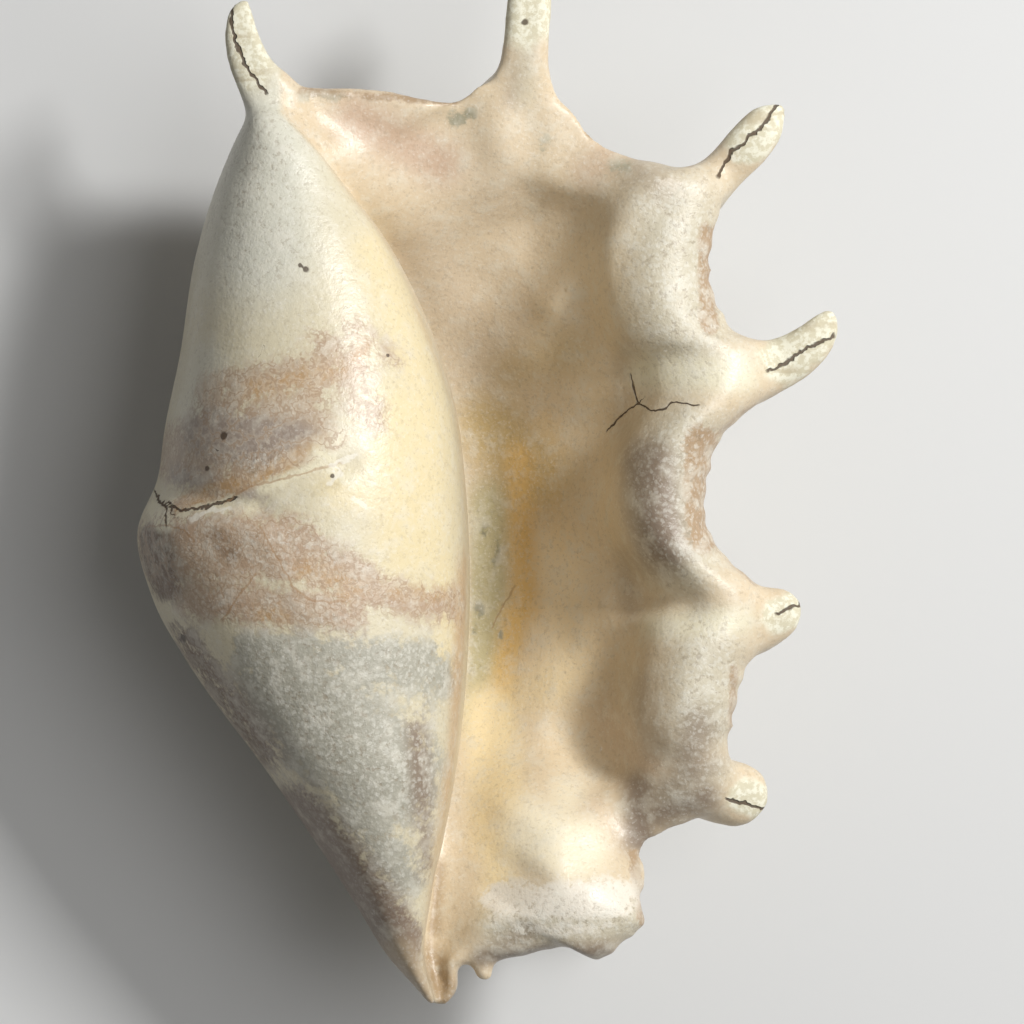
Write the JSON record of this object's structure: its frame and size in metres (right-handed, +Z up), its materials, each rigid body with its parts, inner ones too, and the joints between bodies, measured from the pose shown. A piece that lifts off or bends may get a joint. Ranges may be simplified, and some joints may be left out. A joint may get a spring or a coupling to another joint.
{
  "type": "spider conch shell",
  "caption": "Large spider conch shell lying on its back, mouth up, with a flared lip, blunt fingers along its edge and a smooth pale body.",
  "frame": {"origin": "on the table, under the middle of the shell's outline as it lies on its back", "axes": "+X from the body toward the fingered lip, +Y from the canal tip toward the spire end, +Z up out of the mouth"},
  "size_m": [0.1972, 0.3018, 0.1141],
  "materials": {
    "shell": "semi-gloss enamel with frosted, chalky patches and bare chalky fingers"
  },
  "bodies": {
    "root": {"shell": "shell"}
  },
  "joints": []
}
